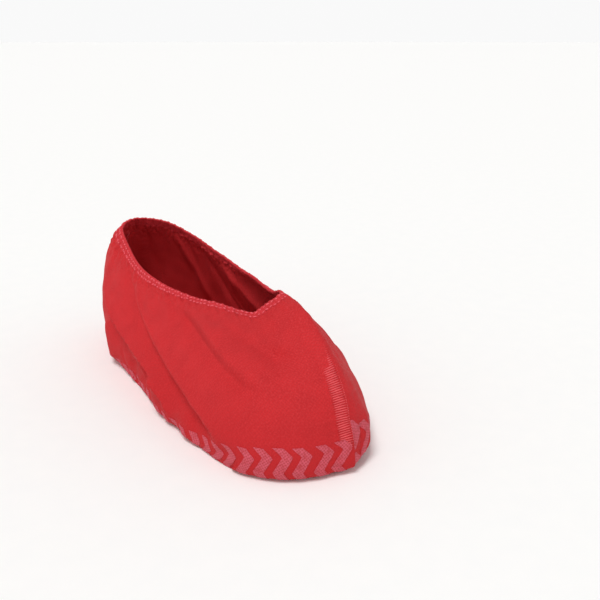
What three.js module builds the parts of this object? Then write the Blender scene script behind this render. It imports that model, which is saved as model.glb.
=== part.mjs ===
// A slip-on shoe cover of spun-bonded nonwoven cloth, in the form it takes over an ankle boot.
// Millimetres, +Z up. The toe points to -Y, the outer side of the foot is -X, the sole lies on z = 0.
//
// The body is a curved skin described by two numbers. "turn" goes once round the foot: 0 at the toe
// seam, 0.5 at the heel seam, with the outer side between 0 and 0.5. "rise" goes up the wall: 0 at the
// top of the rounded sole edge, 1 at the rim, and from 0 down to soleRise round the sole edge.
import * as THREE from 'three';

// Driving sizes
const clothWall = 1.5;
const pieceGap = 0.3;
const hemGap = 0.65;
const seamGap = 0.45;
const soleCorner = 8;
const hemHeight = 7;
const hemThickness = 2.6;
const seamWidth = 8;
const seamThickness = 1;

// Steps of the faceted skin, and the small step that slopes are measured with
const ribsPerPanel = 40;
const wallSteps = 14;
const cornerSteps = 3;
const soleSteps = 3;
const seamColumns = 3;
const slopeStep = 1e-3;

// Rises where the sole begins, where a seam ends above the floor, and about where the hem begins
const soleRise = -0.15;
const seamFootRise = soleRise / cornerSteps;
const hemFootRise = 0.93;

// How high the wall's fullest part is, as a share of its height
const swellUp = 0.32;

// Sections at equal steps of turn. The edge is the top of the rounded sole edge, seen from above, and
// the rim is where the hem ends. bulge is how far the wall swells past the edge; shoulderIn and
// shoulderUp place the bend at its top, as shares of the way in and of the way up to the rim.
const sectionColumns = ['edgeX', 'edgeY', 'rimX', 'rimY', 'rimZ', 'bulge', 'shoulderIn', 'shoulderUp'];
const sections = {
  toe: [15, -164, 21, -61, 93, 0, 0.24, 0.88],
  toeLateral: [-30, -155, 4, -54, 83, 1, 0.24, 0.85],
  frontLateral: [-57, -122, -14, -26, 83, 3, 0.28, 0.84],
  ballLateral: [-61, -79, -25, 4, 84, 5, 0.4, 0.8],
  vampLateral: [-61, -28, -31, 35, 87, 6, 0.5, 0.75],
  waistLateral: [-58, 31, -33, 66, 92, 6, 0.5, 0.7],
  quarterLateral: [-52, 87, -28, 97, 100, 7, 0.36, 0.78],
  heelLateral: [-37.5, 138, -19, 130, 110, 6.5, -0.02, 0.9],
  heel: [1, 162, 2, 148, 111, 6, 0.05, 0.86],
  heelMedial: [35, 139, 23, 131, 109, 6, 0.14, 0.84],
  quarterMedial: [49, 93, 35, 100, 101, 6, 0.4, 0.75],
  waistMedial: [52, 37, 40, 69, 93, 6, 0.5, 0.7],
  vampMedial: [58, -21, 42, 37, 87, 6, 0.5, 0.75],
  ballMedial: [68, -75, 42, 6, 82, 5, 0.4, 0.8],
  frontMedial: [58, -115, 39, -22, 81, 1, 0.26, 0.84],
  toeMedial: [40, -145, 33, -44, 88, 0, 0.34, 0.85],
};

// Main folds and dents: each follows a line on the skin between two places, bent by bow, with a
// half width and a height in millimetres. A positive height is a ridge, a negative one a valley;
// a low edge gives a sharp crest and a high one a round one.
const foldColumns = ['fromTurn', 'fromRise', 'toTurn', 'toRise', 'bow', 'width', 'height', 'edge'];
const folds = {
  heelCrease: [0.41, 0.56, 0.232, -0.02, -0.02, 8, 3.6, 1.3],
  heelDent: [0.44, 0.6, 0.3, 0.08, -0.04, 12, -3, 2],
  archValley: [0.362, 0.92, 0.155, 0.06, -0.07, 8, -4.2, 1.6],
  archRidge: [0.315, 0.78, 0.145, 0.1, -0.05, 11, 2.6, 2],
  vampValley: [0.19, 0.9, 0.1, 0.42, 0.02, 9, -3.4, 1.7],
  vampRidge: [0.168, 0.9, 0.118, 0.5, 0.02, 10, 2.4, 2],
  rimValley: [0.13, 0.9, 0.078, 0.72, 0.01, 8, -2.4, 1.8],
  toeValley: [0.078, 0.92, 0.03, 0.54, -0.02, 7, -2, 1.8],
  heelSwell: [0.375, 0.35, 0.35, -0.12, 0, 16, 4.5, 2],
  archSwell: [0.285, 0.26, 0.268, -0.12, 0, 14, 5, 2],
  archHollow: [0.325, 0.2, 0.315, -0.12, 0, 9, -2.4, 2],
  ballHollow: [0.247, 0.14, 0.243, -0.12, 0, 8, -2, 2],
  ballSwell: [0.225, 0.22, 0.205, -0.12, 0, 16, 4, 2],
  heelMedialValley: [0.57, 0.9, 0.63, 0.2, 0.03, 9, -3, 1.7],
  quarterMedialRidge: [0.62, 0.9, 0.7, 0.15, 0.03, 11, 2.6, 2],
  waistMedialValley: [0.68, 0.9, 0.8, 0.12, -0.04, 10, -3.2, 1.7],
  vampMedialRidge: [0.77, 0.88, 0.87, 0.3, -0.03, 11, 2.4, 2],
  ballMedialValley: [0.84, 0.9, 0.92, 0.4, -0.02, 9, -2.6, 1.8],
  toeMedialValley: [0.94, 0.92, 0.975, 0.5, 0, 7, -1.6, 1.8],
};
const foldSamples = 20;

// Shares of a fold's length, and stretches of rise, over which a fold dies out
const foldEndFade = 0.22;
const foldHemFade = 0.12;
const foldSoleFade = 0.1;

// Half of the hem's section, going round it, in shares of its height and thickness
const hemSection = [[0.5, 0.22], [0.34, 0.5], [-0.34, 0.5], [-0.5, 0.22]];

const named = (columns, rows) => Object.values(rows).map(
  (row) => Object.fromEntries(columns.map((column, k) => [column, row[k]])));
const sectionRows = named(sectionColumns, sections);
const foldRows = named(foldColumns, folds);

function smooth(x) {
  const t = THREE.MathUtils.clamp(x, 0, 1);
  return t * t * (3 - 2 * t);
}

// A value of the section table between its rows, on a closed smooth curve through them
function aroundFoot(column, turn) {
  const count = sectionRows.length;
  const place = ((turn % 1) + 1) % 1 * count;
  const row = Math.floor(place);
  const f = place - row;
  const [a, b, c, d] = [-1, 0, 1, 2].map((step) => sectionRows[(row + step + count) % count][column]);
  const slope = c - a;
  const bend = 2 * a - 5 * b + 4 * c - d;
  const twist = 3 * b - a - 3 * c + d;
  return b + 0.5 * (slope * f + bend * f ** 2 + twist * f ** 3);
}

// The cubic through its two ends, pulled by the two points between
function bezier(w, points) {
  const s = 1 - w;
  return s ** 3 * points[0] + 3 * w * s ** 2 * points[1] + 3 * w ** 2 * s * points[2] + w ** 3 * points[3];
}

// The smooth skin without its folds
function plainSkin(turn, rise) {
  const s = Object.fromEntries(sectionColumns.map((column) => [column, aroundFoot(column, turn)]));
  const inward = new THREE.Vector2(s.rimX - s.edgeX, s.rimY - s.edgeY);
  const run = inward.length();
  inward.normalize();
  const tall = s.rimZ - soleCorner;
  let across;
  let height;
  if (rise < 0) {
    const angle = (rise / soleRise) * Math.PI / 2;
    across = soleCorner * (1 - Math.cos(angle));
    height = soleCorner * (1 - Math.sin(angle));
  } else {
    across = bezier(rise, [0, -s.bulge, s.shoulderIn * run, run]);
    height = soleCorner + bezier(rise, [0, swellUp * tall, s.shoulderUp * tall, tall]);
  }
  return new THREE.Vector3(
    s.edgeX + inward.x * across, s.edgeY + inward.y * across, height);
}

// Outward normal of a skin by small steps either way
function normalOf(skin, turn, rise) {
  const low = Math.max(rise - slopeStep, soleRise);
  const high = Math.min(rise + slopeStep, 1);
  const along = skin(turn + slopeStep, rise).sub(skin(turn - slopeStep, rise));
  const up = skin(turn, high).sub(skin(turn, low));
  return up.cross(along).normalize();
}

const foldLines = foldRows.map((fold) => {
  const points = [];
  for (let k = 0; k <= foldSamples; k++) {
    const t = k / foldSamples;
    const turn = THREE.MathUtils.lerp(fold.fromTurn, fold.toTurn, t);
    const rise = THREE.MathUtils.lerp(fold.fromRise, fold.toRise, t) + fold.bow * 4 * t * (1 - t);
    points.push(plainSkin(turn, THREE.MathUtils.clamp(rise, soleRise, 1)));
  }
  return points;
});

// How far the folds lift the skin at a point
function foldLift(point) {
  let lift = 0;
  foldRows.forEach((fold, index) => {
    let nearest = Infinity;
    let place = 0;
    foldLines[index].forEach((sample, k) => {
      const distance = sample.distanceTo(point);
      if (distance < nearest) {
        nearest = distance;
        place = k / foldSamples;
      }
    });
    const ends = smooth(Math.min(place, 1 - place) / foldEndFade);
    lift += fold.height * ends * Math.exp(-((nearest / fold.width) ** fold.edge));
  });
  return lift;
}

// The outer skin with its folds, which die out at the rim and on the way under the sole
function foldedSkin(turn, rise) {
  const point = plainSkin(turn, rise);
  const out = normalOf(plainSkin, turn, rise);
  if (rise < 0) {
    out.setZ(0).normalize();
  }
  const keep = smooth((hemFootRise - rise) / foldHemFade) * smooth((rise - soleRise) / foldSoleFade);
  return point.addScaledVector(out, keep * foldLift(point));
}

// How the skin moves for one unit of turn
function alongSkin(turn, rise) {
  const step = foldedSkin(turn + slopeStep, rise).sub(foldedSkin(turn - slopeStep, rise));
  return step.divideScalar(2 * slopeStep);
}

// The rim at a turn, with the directions down the cloth and out of it
function rimFrame(turn) {
  const point = plainSkin(turn, 1);
  const down = plainSkin(turn, hemFootRise).sub(point).normalize();
  return { point, down, out: normalOf(plainSkin, turn, hemFootRise) };
}

// The rise at which the cloth ends, just below the hem, found by halving
function clothTop(turn) {
  const halvings = 20;
  const rim = rimFrame(turn);
  let low = 0.7;
  let high = 1;
  for (let k = 0; k < halvings; k++) {
    const middle = (low + high) / 2;
    const depth = plainSkin(turn, middle).sub(rim.point).dot(rim.down);
    if (depth > hemHeight + hemGap) {
      low = middle;
    } else {
      high = middle;
    }
  }
  return low;
}

// The rises of one rib, from the flat sole up to a share of the wall
function ribRises(turn, lowest) {
  const rises = [];
  for (let k = 0; k <= cornerSteps; k++) {
    const rise = soleRise * (1 - k / cornerSteps);
    if (rise >= lowest - 1e-9) {
      rises.push(rise);
    }
  }
  for (let k = 1; k <= wallSteps; k++) {
    rises.push(clothTop(turn) * k / wallSteps);
  }
  return rises;
}

function geometryOf(corners) {
  const geometry = new THREE.BufferGeometry();
  geometry.setAttribute('position', new THREE.Float32BufferAttribute(corners.flatMap((p) => p.toArray()), 3));
  geometry.computeVertexNormals();
  return geometry;
}

// Two triangles for a four-sided facet; a side that has shrunk to a point leaves one or none
function facet(corners, a, b, c, d) {
  const nearEqual = 1e-3;
  for (const [p, q, r] of [[a, b, c], [a, c, d]]) {
    const shrunk = p.distanceTo(q) < nearEqual || q.distanceTo(r) < nearEqual || r.distanceTo(p) < nearEqual;
    if (!shrunk) {
      corners.push(p, q, r);
    }
  }
}

// A closed wall between an outer and an inner grid of points, both listed rib by rib
function wallBetween(outer, inner) {
  const corners = [];
  const lastRib = outer.length - 1;
  const lastPoint = outer[0].length - 1;
  for (let i = 0; i < lastRib; i++) {
    for (let j = 0; j < lastPoint; j++) {
      facet(corners, outer[i][j], outer[i][j + 1], outer[i + 1][j + 1], outer[i + 1][j]);
      facet(corners, inner[i][j], inner[i + 1][j], inner[i + 1][j + 1], inner[i][j + 1]);
    }
    facet(corners, outer[i][0], outer[i + 1][0], inner[i + 1][0], inner[i][0]);
    const [outerTop, nextOuterTop] = [outer[i][lastPoint], outer[i + 1][lastPoint]];
    facet(corners, outerTop, inner[i][lastPoint], inner[i + 1][lastPoint], nextOuterTop);
  }
  for (let j = 0; j < lastPoint; j++) {
    facet(corners, outer[0][j], inner[0][j], inner[0][j + 1], outer[0][j + 1]);
    facet(corners, outer[lastRib][j], outer[lastRib][j + 1], inner[lastRib][j + 1], inner[lastRib][j]);
  }
  return geometryOf(corners);
}

// Half of the body: flat sole from the middle line out, the rounded edge, and the wall up to the hem
function panelGeometry(fromTurn, toTurn) {
  const outer = [];
  const inner = [];
  for (let i = 0; i <= ribsPerPanel; i++) {
    const turn = THREE.MathUtils.lerp(fromTurn, toTurn, i / ribsPerPanel);
    const endShift = (i === 0) - (i === ribsPerPanel);
    const outerRib = [];
    const innerRib = [];
    for (const rise of ribRises(turn, soleRise)) {
      const shift = alongSkin(turn, rise).setZ(0).setLength(endShift * pieceGap / 2);
      const point = foldedSkin(turn, rise).add(shift);
      const out = rise === soleRise ? new THREE.Vector3(0, 0, -1) : normalOf(foldedSkin, turn, rise);
      outerRib.push(point);
      innerRib.push(point.clone().addScaledVector(out, -clothWall));
    }
    outer.push(outerRib);
    inner.push(innerRib);
  }
  addSole(outer);
  addSole(inner);
  return wallBetween(outer, inner);
}

// Carries each rib on across the flat sole to the middle line, which runs from the first rib to the last
function addSole(ribs) {
  const start = ribs[0][0];
  const end = ribs[ribs.length - 1][0];
  ribs.forEach((rib, i) => {
    const share = (1 - Math.cos(Math.PI * i / (ribs.length - 1))) / 2;
    const middle = start.clone().lerp(end, share);
    const edge = rib[0];
    for (let k = 1; k <= soleSteps; k++) {
      rib.unshift(edge.clone().lerp(middle, k / soleSteps));
    }
  });
}

// A seam folded flat against the outer half, beside the line where the halves meet
function seamGeometry(lineTurn, side) {
  const outer = [];
  const inner = [];
  for (let i = 0; i <= seamColumns; i++) {
    const offset = pieceGap + seamWidth * i / seamColumns;
    const outerRib = [];
    const innerRib = [];
    for (const lineRise of ribRises(lineTurn, seamFootRise)) {
      const turn = lineTurn + side * offset / alongSkin(lineTurn, lineRise).length();
      const rise = lineRise > 0 ? lineRise * clothTop(turn) / clothTop(lineTurn) : lineRise;
      const point = foldedSkin(turn, rise);
      const out = normalOf(foldedSkin, turn, rise);
      outerRib.push(point.clone().addScaledVector(out, seamGap + seamThickness));
      innerRib.push(point.clone().addScaledVector(out, seamGap));
    }
    outer.push(outerRib);
    inner.push(innerRib);
  }
  if (side < 0) {
    outer.reverse();
    inner.reverse();
  }
  return wallBetween(outer, inner);
}

// The casing round the mouth: a flat rounded band that stands on the edge of the cloth
function hemGeometry() {
  const section = [...hemSection, ...hemSection.map(([along, across]) => [-along, -across])];
  const rings = [];
  const count = 2 * ribsPerPanel;
  for (let i = 0; i < count; i++) {
    const turn = i / count;
    const { point, down, out } = rimFrame(turn);
    const middle = point.addScaledVector(down, hemHeight / 2).addScaledVector(out, -clothWall / 2);
    rings.push(section.map(([along, across]) => middle.clone()
      .addScaledVector(down, along * hemHeight).addScaledVector(out, across * hemThickness)));
  }
  const corners = [];
  rings.forEach((ring, i) => {
    const next = rings[(i + 1) % count];
    ring.forEach((point, j) => {
      const k = (j + 1) % ring.length;
      facet(corners, point, ring[k], next[k], next[j]);
    });
  });
  return geometryOf(corners);
}

function cloth(color, roughness) {
  return new THREE.MeshStandardMaterial({ color, roughness, metalness: 0 });
}

function piece(name, geometry, material) {
  const mesh = new THREE.Mesh(geometry, material);
  mesh.name = name;
  return mesh;
}

const shoeCover = new THREE.Group();
shoeCover.add(
  piece('lateral_panel', panelGeometry(0, 0.5), cloth(0xc83236, 0.85)),
  piece('medial_panel', panelGeometry(0.5, 1), cloth(0xc02f33, 0.85)),
  piece('toe_seam', seamGeometry(0, 1), cloth(0xb52c31, 0.8)),
  piece('heel_seam', seamGeometry(0.5, -1), cloth(0xb52c31, 0.8)),
  piece('elastic_hem', hemGeometry(), cloth(0xd23a44, 0.8)),
);

export default shoeCover;
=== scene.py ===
import math

import bpy
import numpy as np
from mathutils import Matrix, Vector


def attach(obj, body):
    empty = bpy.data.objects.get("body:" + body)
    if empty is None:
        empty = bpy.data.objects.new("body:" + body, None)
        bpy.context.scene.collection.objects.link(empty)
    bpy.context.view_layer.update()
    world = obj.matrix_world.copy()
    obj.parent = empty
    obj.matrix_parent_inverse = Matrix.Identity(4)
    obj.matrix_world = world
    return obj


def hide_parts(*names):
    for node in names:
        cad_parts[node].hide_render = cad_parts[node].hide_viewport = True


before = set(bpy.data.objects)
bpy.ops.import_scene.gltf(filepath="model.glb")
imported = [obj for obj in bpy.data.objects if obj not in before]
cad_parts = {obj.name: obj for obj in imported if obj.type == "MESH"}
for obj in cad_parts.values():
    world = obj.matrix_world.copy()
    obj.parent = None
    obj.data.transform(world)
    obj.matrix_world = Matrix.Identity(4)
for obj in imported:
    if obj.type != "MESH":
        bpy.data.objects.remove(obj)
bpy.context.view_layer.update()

mm = 0.001


def linear(hexColour):  # sRGB hex to the linear numbers that shaders take
    parts = [int(hexColour[i:i + 2], 16) / 255 for i in (1, 3, 5)]
    return [c / 12.92 if c <= 0.04045 else ((c + 0.055) / 1.055) ** 2.4 for c in parts] + [1.0]


def addNode(tree, kind, sockets=None, links=None, **settings):
    node = tree.nodes.new(kind)
    for name, value in settings.items():
        setattr(node, name, value)
    for name, value in (sockets or {}).items():
        node.inputs[name].default_value = value
    for name, source in (links or {}).items():
        tree.links.new(source, node.inputs[name])
    return node


def smooth(x):
    t = np.clip(x, 0, 1)
    return t * t * (3 - 2 * t)


def fade(x, start, end):  # 0 at the start to 1 at the end
    return smooth((x - start) / (end - start))


def bell(x):
    return np.exp(-x ** 2)


def unit(vectors):
    return vectors / np.maximum(np.linalg.norm(vectors, axis=-1, keepdims=True), 1e-9)


def lengthAlong(line):  # how far along its line each point is, for one line or each line of a grid
    steps = np.linalg.norm(np.diff(line, axis=-2), axis=-1)
    return np.concatenate([0 * steps[..., :1], np.cumsum(steps, axis=-1)], -1)


# Camera, floor and lights, in millimetres and degrees. Azimuth 0 looks at the toe.
stage = {
    "azimuth": -35.62, "elevation": 20.13, "distance": 658, "lens": 43.46, "clipStart": 20,
    "aim": (101.04, 23.8, 45),
    "floorColour": "#f7f7f6", "floorCloud": "#fbfaf8", "floorRadius": 30000, "floorCorners": 48,
    "skyColour": "#ffffff", "horizonStrength": 0.95, "zenithStrength": 0.38,
    "skyFade": (5, 55),   # degrees above the horizon
    "lamps": {  # place, softness in degrees, watts a square metre
        "keyLamp": ((-345, -150, 980), 24, 1.73),
        "fillLamp": ((700, 200, 900), 60, 0.02),
    },
}


def perMetre(size):  # the scale of a pattern that repeats over so many millimetres
    return 1000 / size


def startMaterial(name, finish):  # finish: values for the shader's own sockets
    material = bpy.data.materials.new(name)
    material.use_nodes = True
    shader = material.node_tree.nodes["Principled BSDF"]
    for socket, value in finish.items():
        shader.inputs[socket].default_value = value
    return material, material.node_tree, shader


def layColours(tree, shader, base, layers):
    # A layer is a colour, the pattern that it follows, the pattern's values where it starts and is full, and
    # the share that it then covers.
    under = addNode(tree, "ShaderNodeRGB").outputs["Color"]
    under.default_value = linear(base)
    for colour, pattern, (start, full), share in layers:
        cover = addNode(tree, "ShaderNodeMapRange", {"From Min": start, "From Max": full, "To Max": share},
                        {"Value": pattern})
        laid = addNode(tree, "ShaderNodeMix", {"B": linear(colour)},
                       {"Factor": cover.outputs["Result"], "A": under}, data_type="RGBA")
        under = laid.outputs["Result"]
    tree.links.new(under, shader.inputs["Base Color"])


def lookAt(thing, place, target):
    thing.location = place
    thing.rotation_euler = (place - target).to_track_quat("Z", "Y").to_euler()
    bpy.context.collection.objects.link(thing)


def makeCamera():
    turned, tilted = math.radians(stage["azimuth"]), math.radians(stage["elevation"])
    level = math.cos(tilted)
    back = Vector((math.sin(turned) * level, -math.cos(turned) * level, math.sin(tilted)))
    aim = Vector(stage["aim"]) * mm
    camera = bpy.data.objects.new("camera", bpy.data.cameras.new("camera"))
    camera.data.lens = stage["lens"]
    camera.data.clip_start = stage["clipStart"] * mm
    lookAt(camera, aim + back * stage["distance"] * mm, aim)
    bpy.context.scene.camera = camera
    bpy.context.scene.view_settings.view_transform = "Standard"


def makeLamps():
    for name, (place, softness, watts) in stage["lamps"].items():
        lamp = bpy.data.objects.new(name, bpy.data.lights.new(name, "SUN"))
        lamp.data.angle = math.radians(softness)
        lamp.data.energy = watts
        lookAt(lamp, Vector(place) * mm, Vector((0, 0, 0)))


def makeSky():  # brighter towards the horizon than overhead
    sky = bpy.data.worlds.new("softWhiteSky")
    sky.use_nodes = True
    tree = sky.node_tree
    background = tree.nodes["Background"]
    background.inputs["Color"].default_value = linear(stage["skyColour"])
    heading = addNode(tree, "ShaderNodeTexCoord")
    upwards = addNode(tree, "ShaderNodeSeparateXYZ", links={"Vector": heading.outputs["Generated"]})
    start, end = (math.sin(math.radians(angle)) for angle in stage["skyFade"])
    glow = addNode(tree, "ShaderNodeMapRange",
                   {"From Min": start, "From Max": end,
                    "To Min": stage["horizonStrength"], "To Max": stage["zenithStrength"]},
                   {"Value": upwards.outputs["Z"]})
    tree.links.new(glow.outputs["Result"], background.inputs["Strength"])
    bpy.context.scene.world = sky


def makeFloor():
    # Matt white paper board, seamless: nothing to see on it but a soft shadow.
    board, tree, shader = startMaterial("paperBoard", {"Roughness": 0.9, "Specular IOR Level": 0.2})
    place = addNode(tree, "ShaderNodeTexCoord").outputs["Object"]
    grain = addNode(tree, "ShaderNodeTexNoise", {"Scale": 60, "Detail": 4}, {"Vector": place}).outputs["Fac"]
    layColours(tree, shader, stage["floorColour"], [(stage["floorCloud"], grain, (0, 1), 1)])
    mesh = bpy.data.meshes.new("floor")
    reach = stage["floorRadius"] * mm
    angles = np.linspace(0, 2 * math.pi, stage["floorCorners"] + 1)[:-1]
    rim = [(reach * math.cos(angle), reach * math.sin(angle), 0) for angle in angles]
    mesh.from_pydata(rim, [], [range(len(rim))])
    mesh.materials.append(board)
    floor = bpy.data.objects.new("floor", mesh)
    bpy.context.collection.objects.link(floor)


makeCamera()
makeLamps()
makeSky()
makeFloor()
print("stage ready: camera, floor and lamps")


# Materials. Lengths are in millimetres. An edge is where a pattern starts and is full, in its own values.
cloth = {
    "colour": "#c7282c", "shade": "#b02226", "bloom": "#d33a3e",
    "finish": {"IOR": 1.49, "Specular IOR Level": 0.14, "Sheen Weight": 0.03, "Sheen Roughness": 0.55,
               "Sheen Tint": linear("#e8747c")},
    "roughness": 0.8, "bondRoughness": 0.66,
    "bondSpacing": 1.9,   # real bonds lie about 1.3 apart, drawn coarser so that they show
    "bonds": {"turn": 45, "wander": 0.12, "edge": (0.46, 0.2)}, "bondShade": 0.36, "bondDepth": 0.12,
    "fibreSize": 1.3, "fibreEdge": (0.42, 0.7), "fibreBloom": 0.65, "fibreDepth": 0.1,
    "cloudSize": 14, "cloudEdge": (0.36, 0.66), "cloudShade": 0.55,
    "paintedShade": "#b82327", "paintedShadeShare": 0.7, "paintedShadeHeights": (58, 12),   # painted shade: the red darkens from one height to the other
}
hemLook = {**cloth, "colour": "#cd3138", "bloom": "#dc4650", "bondSpacing": 1.5, "fibreDepth": 0.16}


def cellPattern(tree, flat, spacing, turn, wander, edge):  # edge: in shares of the spacing
    turned = addNode(tree, "ShaderNodeMapping", {"Rotation": (0, 0, math.radians(turn))}, {"Vector": flat})
    spots = addNode(tree, "ShaderNodeTexVoronoi", {"Scale": perMetre(spacing), "Randomness": wander},
                    {"Vector": turned.outputs["Vector"]}, voronoi_dimensions="2D")
    start, full = edge
    cells = addNode(tree, "ShaderNodeMapRange", {"From Min": start, "From Max": full},
                    {"Value": spots.outputs["Distance"]}, interpolation_type="SMOOTHSTEP")
    return cells.outputs["Result"]


def nonwovenCloth(name, look):
    # Spunbonded polypropylene, about 70 g/m2: endless fibres pressed together at a diamond of small bonded
    # points. The eye gets a matt, faintly cloudy red, a fine dimpled grain and a soft bloom where it turns
    # away. Low down the red is painted darker: painted shade that stands in for less light reaching there.
    material, tree, shader = startMaterial(name, look["finish"])
    flat = addNode(tree, "ShaderNodeUVMap", uv_map="cloth").outputs["UV"]
    place = addNode(tree, "ShaderNodeTexCoord").outputs["Object"]
    bonds = cellPattern(tree, flat, look["bondSpacing"], **look["bonds"])
    fibres = addNode(tree, "ShaderNodeTexNoise",
                     {"Scale": perMetre(look["fibreSize"]), "Detail": 3, "Roughness": 0.6},
                     {"Vector": flat}, noise_dimensions="2D").outputs["Fac"]
    clouds = addNode(tree, "ShaderNodeTexNoise",
                     {"Scale": perMetre(look["cloudSize"]), "Detail": 5, "Roughness": 0.62},
                     {"Vector": place}).outputs["Fac"]
    height = addNode(tree, "ShaderNodeSeparateXYZ", links={"Vector": place}).outputs["Z"]
    layColours(tree, shader, look["colour"], [
        (look["shade"], clouds, look["cloudEdge"], look["cloudShade"]),
        (look["bloom"], fibres, look["fibreEdge"], look["fibreBloom"]),
        (look["shade"], bonds, (0, 1), look["bondShade"]),
        # painted shade: the red is made darker towards the bottom, for less light low down
        (look["paintedShade"], height, [level * mm for level in look["paintedShadeHeights"]], look["paintedShadeShare"]),
    ])
    gloss = addNode(tree, "ShaderNodeMapRange",
                    {"To Min": look["roughness"], "To Max": look["bondRoughness"]}, {"Value": bonds})
    tree.links.new(gloss.outputs["Result"], shader.inputs["Roughness"])
    fibreBump = addNode(tree, "ShaderNodeBump", {"Strength": 0.5, "Distance": look["fibreDepth"] * mm},
                        {"Height": fibres})
    bondBump = addNode(tree, "ShaderNodeBump", {"Strength": 0.7, "Distance": look["bondDepth"] * mm},
                       {"Height": bonds, "Normal": fibreBump.outputs["Normal"]}, invert=True)
    tree.links.new(bondBump.outputs["Normal"], shader.inputs["Normal"])
    return material


thread = {
    "hem": ("#f05463", "#dc4450"), "seam": ("#de454c", "#d03a41"),   # colour and shade
    "finish": {"IOR": 1.54, "Roughness": 0.58, "Sheen Weight": 0.12},
    "plyWave": 14,        # gives bands about 5 apart; real plies turn every 0.7, too fine to show
    "plyWander": 1.5, "plyDepth": 0.08,
}


def sewingThread(name, colour, shade):
    # Spun polyester sewing thread: two plies twisted together, lighter and a little more silky than cloth.
    material, tree, shader = startMaterial(name, thread["finish"])
    place = addNode(tree, "ShaderNodeTexCoord").outputs["Object"]
    plies = addNode(tree, "ShaderNodeTexWave",
                    {"Scale": perMetre(thread["plyWave"]), "Distortion": thread["plyWander"]},
                    {"Vector": place}, bands_direction="DIAGONAL").outputs["Fac"]
    layColours(tree, shader, colour, [(shade, plies, (0, 1), 1)])
    bump = addNode(tree, "ShaderNodeBump", {"Strength": 0.5, "Distance": thread["plyDepth"] * mm},
                   {"Height": plies})
    tree.links.new(bump.outputs["Normal"], shader.inputs["Normal"])
    return material


latex = {
    "colour": "#b63c43", "pale": "#cf5263", "gap": "#b32c33",
    "finish": {"IOR": 1.52, "Roughness": 0.72, "Specular IOR Level": 0.35},
    "dotSpacing": 1.6,    # the print's mesh has about 1.2 between lines, drawn coarser so that it shows
    "dots": {"turn": 32, "wander": 0.25, "edge": (0.2, 0.55)}, "dotDepth": 0.15,
    "wearScale": 260, "wearEdge": (0.5, 0.72), "wearShare": 0.65,
}


def treadPrint(name):
    # Screen-printed foaming latex: a thin rubbery mesh with the cloth showing through, paler than the cloth.
    material, tree, shader = startMaterial(name, latex["finish"])
    flat = addNode(tree, "ShaderNodeUVMap", uv_map="cloth").outputs["UV"]
    mesh = cellPattern(tree, flat, latex["dotSpacing"], **latex["dots"])
    worn = addNode(tree, "ShaderNodeTexNoise", {"Scale": latex["wearScale"], "Detail": 4, "Roughness": 0.6},
                   {"Vector": flat}, noise_dimensions="2D").outputs["Fac"]
    layColours(tree, shader, latex["colour"], [(latex["pale"], mesh, (0, 1), 1),
                                               (latex["gap"], worn, latex["wearEdge"], latex["wearShare"])])
    bump = addNode(tree, "ShaderNodeBump", {"Strength": 0.8, "Distance": latex["dotDepth"] * mm},
                   {"Height": mesh})
    tree.links.new(bump.outputs["Normal"], shader.inputs["Normal"])
    return material


redCloth = nonwovenCloth("spunbondedCloth", cloth)
hemCloth = nonwovenCloth("gatheredHemCloth", hemLook)
hemThread = sewingThread("hemThread", *thread["hem"])
seamThread = sewingThread("overlockThread", *thread["seam"])
rubberPrint = treadPrint("foamedLatexPrint")
print("materials ready")


# The form of the worn cover, in millimetres. turn goes once round the foot: 0 at the toe seam, 0.5 at the
# heel seam, the outer side between them. rise goes up the wall: soleRise where the flat sole begins, 0 above
# its rounded edge, 1 at the rim.
form = {
    "columns": ["edgeX", "edgeY", "rimX", "rimY", "rimZ", "bulge", "shoulderIn", "shoulderUp"],
    "sections": {
        "toe": [15, -164, 21, -61, 93, 0, 0.24, 0.88],
        "toeOuter": [-30, -155, 4, -54, 83, 1, 0.24, 0.85],
        "frontOuter": [-57, -122, -14, -26, 83, 3, 0.28, 0.84],
        "ballOuter": [-61, -79, -25, 4, 84, 5, 0.4, 0.8],
        "vampOuter": [-61, -28, -31, 35, 87, 6, 0.5, 0.75],
        "waistOuter": [-58, 31, -33, 66, 92, 6, 0.5, 0.7],
        "quarterOuter": [-52, 87, -28, 97, 100, 7, 0.36, 0.78],
        "heelOuter": [-37.5, 138, -19, 130, 110, 6.5, -0.02, 0.9],
        "heel": [1, 162, 2, 148, 111, 6, 0.05, 0.86],
        "heelInner": [35, 139, 23, 131, 109, 6, 0.14, 0.84],
        "quarterInner": [49, 93, 35, 100, 101, 6, 0.4, 0.75],
        "waistInner": [52, 37, 40, 69, 93, 6, 0.5, 0.7],
        "vampInner": [58, -21, 42, 37, 87, 6, 0.5, 0.75],
        "ballInner": [68, -75, 42, 6, 82, 5, 0.4, 0.8],
        "frontInner": [58, -115, 39, -22, 81, 1, 0.26, 0.84],
        "toeInner": [40, -145, 33, -44, 88, 0, 0.34, 0.85],
    },
    "rimDip": ([0.04, 0.05, 0.062, 0.08, 0.1, 0.125], [0, 0.8, 3.4, 2.1, 0.8, 0]),   # turn, millimetres
    "toeSeamBend": ([0.15, 0.3, 0.5, 0.75, 1], [0.0115, 0.0115, 0.0075, 0.001, -0.008]),   # rise, turn
    "toeSeamReach": 0.04,
    "toeSpring": 5,       # the inner sole corner of the toe curls up from the floor by this much,
    "springX": (-5, 27), "springY": (-122, -158), "springTop": 55,   # fully so past the second X and Y
    "soleCorner": 8, "soleRise": -0.15, "swellUp": 0.32, "foldTop": 0.93,
    "soleLift": 0.3,      # the cloth stands on its printed tread
    "soleToe": (13, -113), "soleHeel": (2, 122),   # ends of the middle line of the sole
    "soleEase": 0.88,     # crowds the sole's ribs towards those ends
}

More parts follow.
